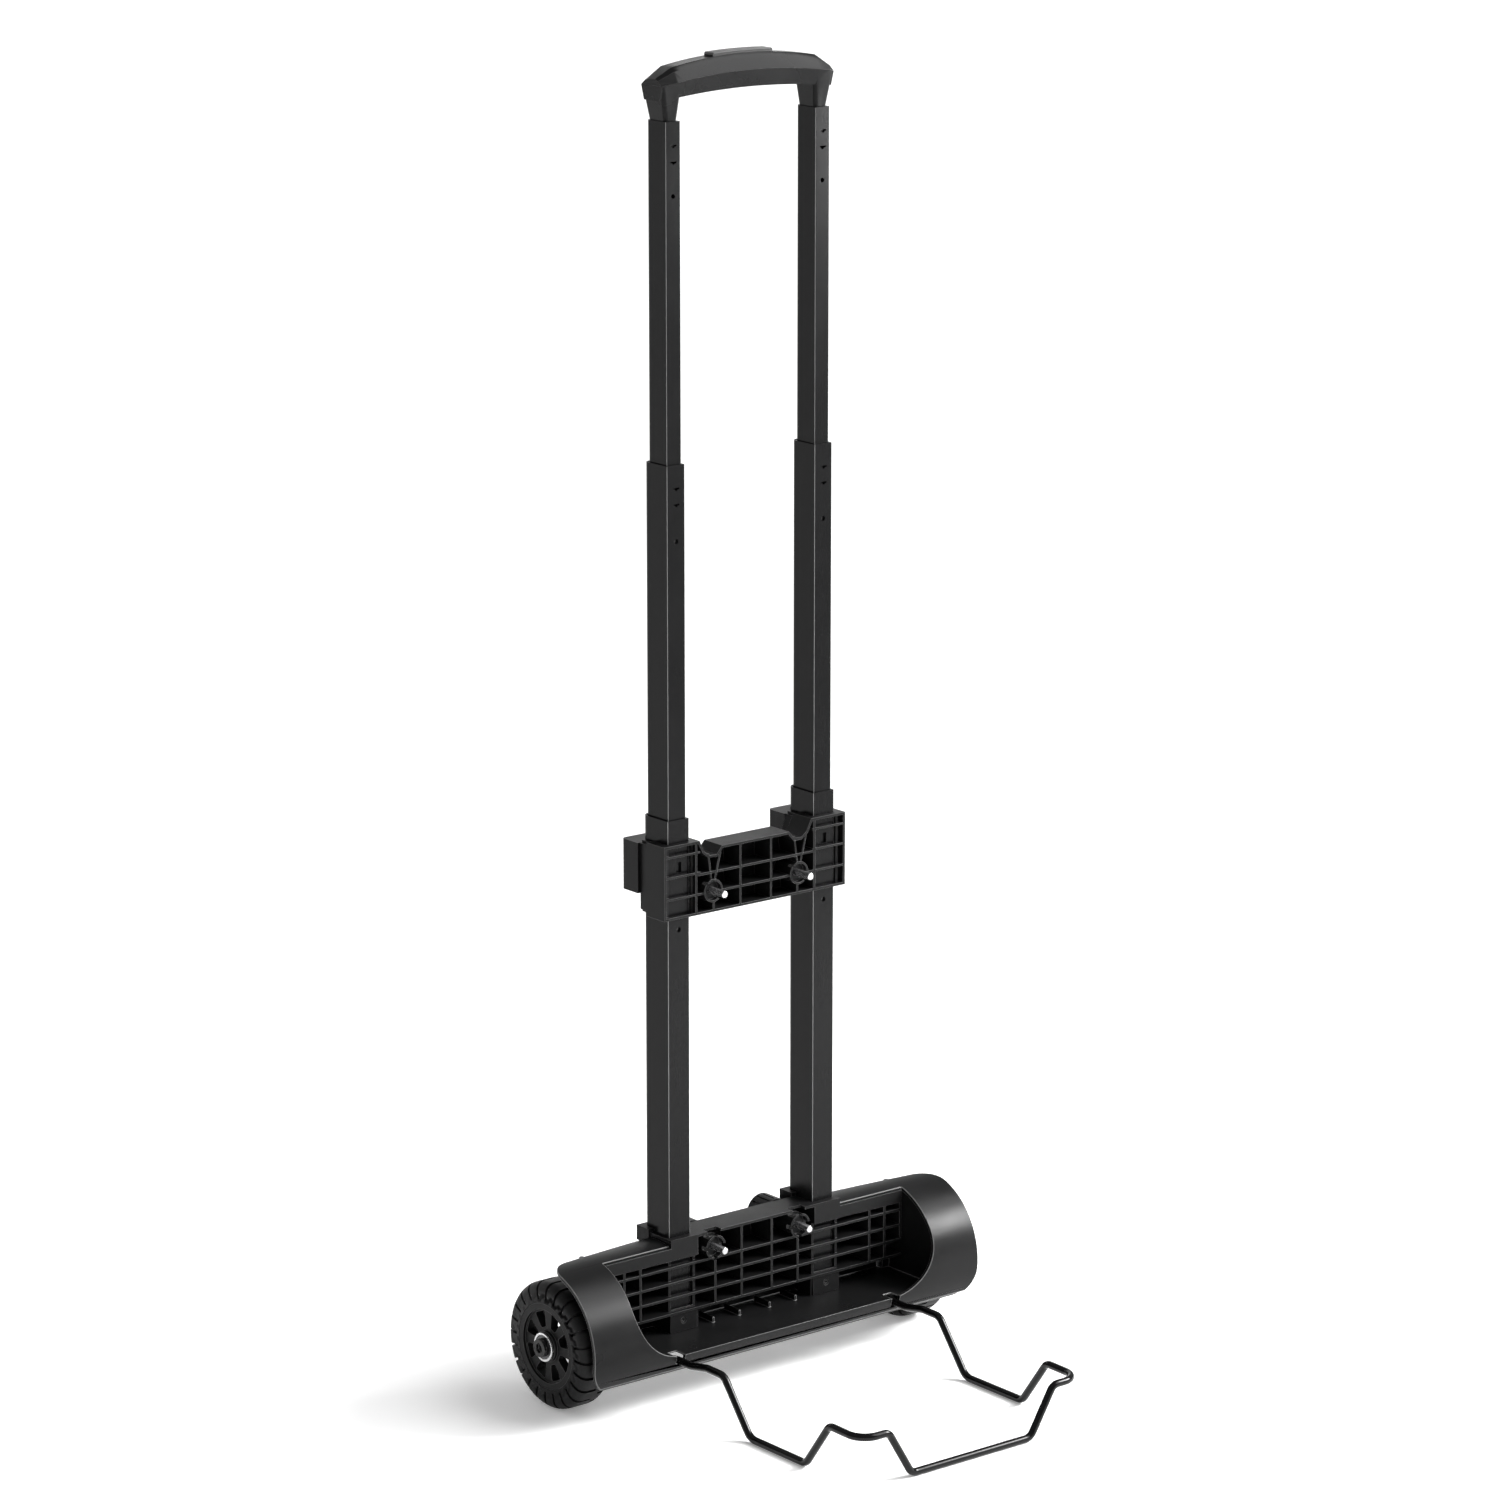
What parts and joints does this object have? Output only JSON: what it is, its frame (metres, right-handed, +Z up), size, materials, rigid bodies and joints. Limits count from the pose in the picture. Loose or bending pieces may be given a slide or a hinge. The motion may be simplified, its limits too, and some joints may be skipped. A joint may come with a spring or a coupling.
{
  "type": "folding luggage cart",
  "caption": "Upright luggage cart with a telescoping twin-tube handle, a half-tube wheel housing with ribbed frame, two wheels and a fold-up wire platform.",
  "frame": {"origin": "middle of the footprint, on the floor", "axes": "+X to the cart's right seen from the load side, +Y to the back (the user pulling it), +Z up the handle"},
  "size_m": [0.381, 0.337, 1.0262],
  "materials": {
    "anodised_tube": "satin black anodised",
    "tyre_rubber": "matt",
    "coated_wire": "gloss black coat on steel wire",
    "steel": "bright",
    "black_steel": "black oxide",
    "chrome": "polished",
    "rod_alloy": "plain",
    "grip_plastic": "fine satin",
    "slide_plastic": "plain",
    "knob_plastic": "satin",
    "rim_plastic": "satin",
    "moulded_plastic": "satin"
  },
  "bodies": {
    "base": {"housing_shell": "moulded_plastic", "rib_panel": "moulded_plastic", "stub_axle_left": "steel", "stub_axle_right": "steel", "axle_bolt_left": "black_steel", "axle_bolt_right": "black_steel", "washer_left": "chrome", "washer_right": "chrome", "lower_tube_left": "anodised_tube", "lower_tube_right": "anodised_tube", "lower_guide_left": "slide_plastic", "lower_guide_right": "slide_plastic", "crossbar": "moulded_plastic", "rear_foot_left": "knob_plastic", "rear_foot_right": "knob_plastic", "base_pin_left": "steel", "base_pin_right": "steel", "cross_pin_left": "steel", "cross_pin_right": "steel", "pin_cap_base_left": "steel", "pin_cap_base_right": "steel", "pin_cap_cross_left": "steel", "pin_cap_cross_right": "steel", "sleeve_screw_left": "steel", "sleeve_screw_right": "steel", "pivot_clip_left": "slide_plastic", "pivot_clip_right": "slide_plastic"},
    "wheel_left": {"wheel_rim_left": "rim_plastic", "tyre_left": "tyre_rubber"},
    "wheel_right": {"wheel_rim_right": "rim_plastic", "tyre_right": "tyre_rubber"},
    "knob_base_left": {"cord_knob_base_left": "knob_plastic"},
    "knob_base_right": {"cord_knob_base_right": "knob_plastic"},
    "knob_cross_left": {"cord_knob_cross_left": "knob_plastic"},
    "knob_cross_right": {"cord_knob_cross_right": "knob_plastic"},
    "platform": {"platform_wire": "coated_wire"},
    "middle_stage": {"middle_tube_left": "anodised_tube", "middle_tube_right": "anodised_tube", "middle_guide_left": "slide_plastic", "middle_guide_right": "slide_plastic", "middle_slider_left": "slide_plastic", "middle_slider_right": "slide_plastic"},
    "middle_lock_left": {"middle_lock_left": "steel"},
    "middle_lock_right": {"middle_lock_right": "steel"},
    "handle": {"upper_tube_left": "anodised_tube", "upper_tube_right": "anodised_tube", "upper_slider_left": "slide_plastic", "upper_slider_right": "slide_plastic", "grip_body": "grip_plastic", "grip_cover": "grip_plastic", "button_spring_left": "steel", "button_spring_right": "steel"},
    "upper_lock_left": {"upper_lock_left": "steel"},
    "upper_lock_right": {"upper_lock_right": "steel"},
    "button": {"release_button": "grip_plastic", "release_rods": "rod_alloy"}
  },
  "joints": [
    {"name": "wheel_left_spin", "type": "hinge", "parent": "base", "child": "wheel_left", "pos_m": [-0.16925, 0.1185, 0.05], "axis": [1, 0, 0], "continuous": true},
    {"name": "wheel_right_spin", "type": "hinge", "parent": "base", "child": "wheel_right", "pos_m": [0.16925, 0.1185, 0.05], "axis": [1, 0, 0], "continuous": true},
    {"name": "knob_base_left_turn", "type": "hinge", "parent": "base", "child": "knob_base_left", "pos_m": [-0.042, 0.1275, 0.1075], "axis": [0, 1, 0], "continuous": true},
    {"name": "knob_base_right_turn", "type": "hinge", "parent": "base", "child": "knob_base_right", "pos_m": [0.042, 0.1275, 0.1075], "axis": [0, 1, 0], "continuous": true},
    {"name": "knob_cross_left_turn", "type": "hinge", "parent": "base", "child": "knob_cross_left", "pos_m": [-0.042, 0.1355, 0.392], "axis": [0, 1, 0], "continuous": true},
    {"name": "knob_cross_right_turn", "type": "hinge", "parent": "base", "child": "knob_cross_right", "pos_m": [0.042, 0.1355, 0.392], "axis": [0, 1, 0], "continuous": true},
    {"name": "platform_fold", "type": "hinge", "parent": "base", "child": "platform", "pos_m": [0, 0.0565, 0.0405], "axis": [-1, 0, 0], "range_deg": [0, 95]},
    {"name": "middle_slide", "type": "slide", "parent": "base", "child": "middle_stage", "axis": [0, 0, -1], "range_m": [0, 0.262]},
    {"name": "upper_slide", "type": "slide", "parent": "middle_stage", "child": "handle", "axis": [0, 0, -1], "range_m": [0, 0.246]},
    {"name": "button_press", "type": "slide", "parent": "handle", "child": "button", "axis": [0, 0, -1], "range_m": [0, 0.003], "stiffness_N_per_m": 800, "springref_m": -0.003, "deforming": ["button_spring_left", "button_spring_right"]},
    {"name": "upper_lock_left_draw", "type": "slide", "parent": "handle", "child": "upper_lock_left", "axis": [0, 1, 0], "range_m": [0, 0.0019]},
    {"name": "upper_lock_right_draw", "type": "slide", "parent": "handle", "child": "upper_lock_right", "axis": [0, 1, 0], "range_m": [0, 0.0019]},
    {"name": "middle_lock_left_draw", "type": "slide", "parent": "middle_stage", "child": "middle_lock_left", "axis": [0, 1, 0], "range_m": [0, 0.002], "stiffness_N_per_m": 300, "springref_m": -0.002},
    {"name": "middle_lock_right_draw", "type": "slide", "parent": "middle_stage", "child": "middle_lock_right", "axis": [0, 1, 0], "range_m": [0, 0.002], "stiffness_N_per_m": 300, "springref_m": -0.002}
  ],
  "couplings": [
    {"joint": "upper_lock_left_draw", "follows": "button_press", "ratio": 0.6},
    {"joint": "upper_lock_right_draw", "follows": "button_press", "ratio": 0.6}
  ]
}
